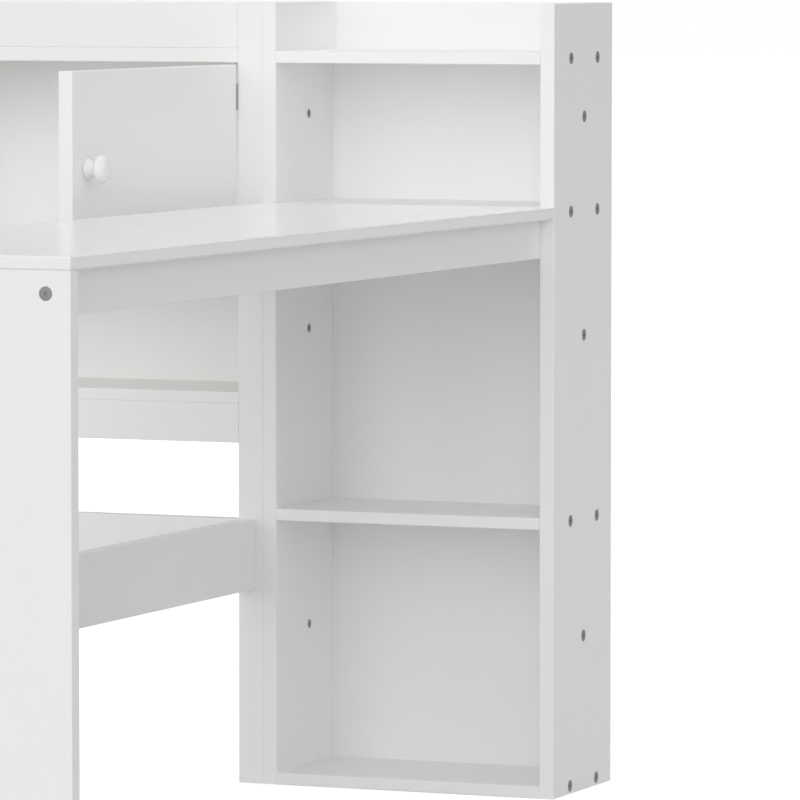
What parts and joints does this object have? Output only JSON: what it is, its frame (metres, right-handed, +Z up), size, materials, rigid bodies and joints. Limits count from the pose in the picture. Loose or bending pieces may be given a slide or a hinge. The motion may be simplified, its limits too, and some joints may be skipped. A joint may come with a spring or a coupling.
{
  "type": "corner desk",
  "caption": "Corner desk of white boards: desk wing on an end panel, open shelf tower, and a side cabinet with a hinged door, open trays and a low rail.",
  "frame": {"origin": "middle of the footprint's bounding box, on the floor", "axes": "+X to the right along the tower and cabinet, +Y from the desk wing's free end towards the back of the tower, +Z up"},
  "size_m": [0.957, 1.602, 1],
  "materials": {
    "white_satin_lacquer": "satin white lacquer",
    "white_desktop_lacquer": "smooth satin white lacquer",
    "white_back_board": "matt white lacquer",
    "white_glazed_knob": "gloss white",
    "white_plastic_catch": "moulded",
    "grey_zinc_bolts": "satin grey",
    "bright_zinc_fittings": "zinc plated",
    "nickel_steel_hinges": "nickel plated",
    "beech_dowels": "turned and fluted"
  },
  "bodies": {
    "carcass": {"apron_brace": "white_satin_lacquer", "cabinet_back": "white_back_board", "cabinet_barrel_nuts": "bright_zinc_fittings", "cabinet_bottom_shelf": "white_satin_lacquer", "cabinet_cross_board": "white_satin_lacquer", "cabinet_divider": "white_satin_lacquer", "cabinet_left_bolts": "grey_zinc_bolts", "cabinet_left_side": "white_satin_lacquer", "cabinet_left_stile": "white_satin_lacquer", "cabinet_right_bolts": "grey_zinc_bolts", "cabinet_right_side": "white_satin_lacquer", "cabinet_right_stile": "white_satin_lacquer", "cabinet_shelf_rail": "white_satin_lacquer", "cabinet_top_rail": "white_satin_lacquer", "cabinet_top_shelf": "white_satin_lacquer", "cabinet_tray_back": "white_back_board", "catch_screws": "bright_zinc_fittings", "desktop": "white_desktop_lacquer", "desktop_screws": "bright_zinc_fittings", "end_panel": "white_satin_lacquer", "end_panel_bolts": "grey_zinc_bolts", "face_frame_dowels": "beech_dowels", "frame_hinge_leaves": "nickel_steel_hinges", "frame_hinge_screws": "nickel_steel_hinges", "hinge_pins": "nickel_steel_hinges", "inner_apron": "white_satin_lacquer", "inner_shelf_bolts": "grey_zinc_bolts", "joining_bolts": "grey_zinc_bolts", "joining_cap_nuts": "grey_zinc_bolts", "magnetic_catch": "white_plastic_catch", "outer_apron": "white_satin_lacquer", "outer_shelf_bolts": "grey_zinc_bolts", "post_bolts": "grey_zinc_bolts", "rail_bolts": "grey_zinc_bolts", "rail_post": "white_satin_lacquer", "side_rail": "white_satin_lacquer", "spare_bolts": "grey_zinc_bolts", "spare_cap_nuts": "grey_zinc_bolts", "stile_bolts": "grey_zinc_bolts", "tongue_screws": "bright_zinc_fittings", "tower_barrel_nuts": "bright_zinc_fittings", "tower_bottom_shelf": "white_satin_lacquer", "tower_desk_shelf": "white_satin_lacquer", "tower_inner_side": "white_satin_lacquer", "tower_lower_back": "white_back_board", "tower_lower_shelf": "white_satin_lacquer", "tower_outer_side": "white_satin_lacquer", "tower_top_shelf": "white_satin_lacquer", "tower_tray_back": "white_back_board", "tower_upper_back": "white_back_board", "tray_dowels": "beech_dowels", "wing_barrel_nuts": "bright_zinc_fittings", "wing_dowels": "beech_dowels"},
    "door": {"door_panel": "white_satin_lacquer", "door_knob": "white_glazed_knob", "knob_screw": "bright_zinc_fittings", "door_hinge_leaves": "nickel_steel_hinges", "door_hinge_screws": "nickel_steel_hinges", "strike_plate": "bright_zinc_fittings", "strike_screws": "bright_zinc_fittings"}
  },
  "joints": [
    {"name": "door_hinge", "type": "hinge", "parent": "carcass", "child": "door", "pos_m": [0.0447, 0.5966, 0.802], "axis": [0, 0, 1], "range_deg": [-90.1, 0]}
  ]
}
